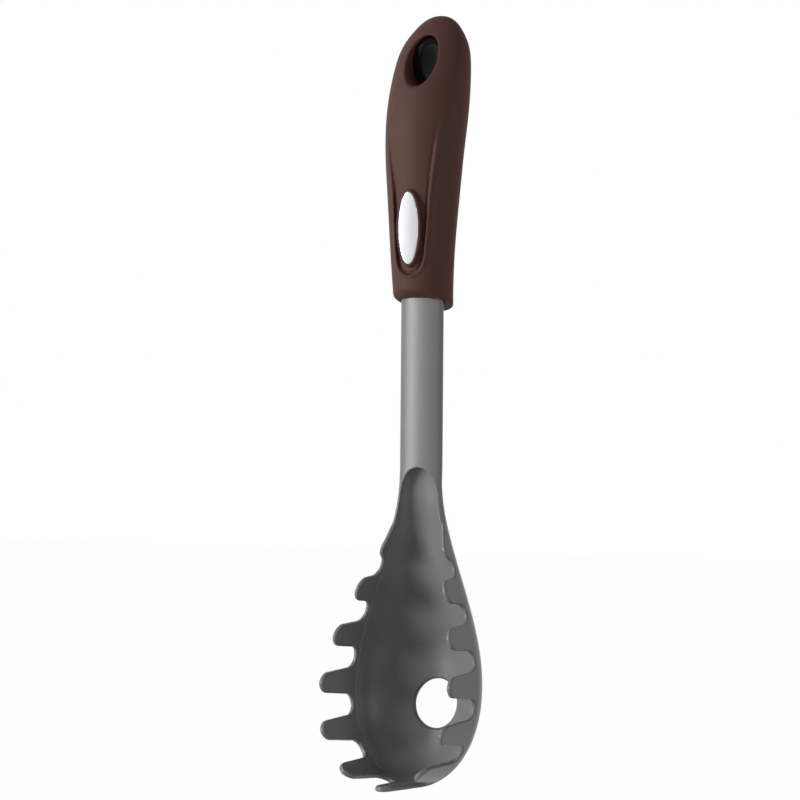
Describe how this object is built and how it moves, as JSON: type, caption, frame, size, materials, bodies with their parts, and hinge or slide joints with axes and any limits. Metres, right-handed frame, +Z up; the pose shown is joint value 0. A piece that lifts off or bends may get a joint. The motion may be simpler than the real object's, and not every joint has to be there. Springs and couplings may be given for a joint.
{
  "type": "pasta server",
  "caption": "Slotted, toothed ladle for lifting and draining pasta, with an oval bowl, a flat stem and a soft swept-back handle with a hanging hole.",
  "frame": {"origin": "centre of the oval hanging hole, half way across the tool", "axes": "+Z up the stem and handle when the tool hangs, -Y out of the bowl's open front, +X across to the right as seen from the bowl's back"},
  "size_m": [0.0638, 0.0488, 0.321],
  "materials": {
    "nylon": "satin",
    "core": "matt",
    "grip": "soft matt",
    "badge": "satin"
  },
  "bodies": {
    "root": {"pasta_head": "nylon", "handle_core": "core", "soft_grip": "grip", "badge_plate": "badge"}
  },
  "joints": []
}
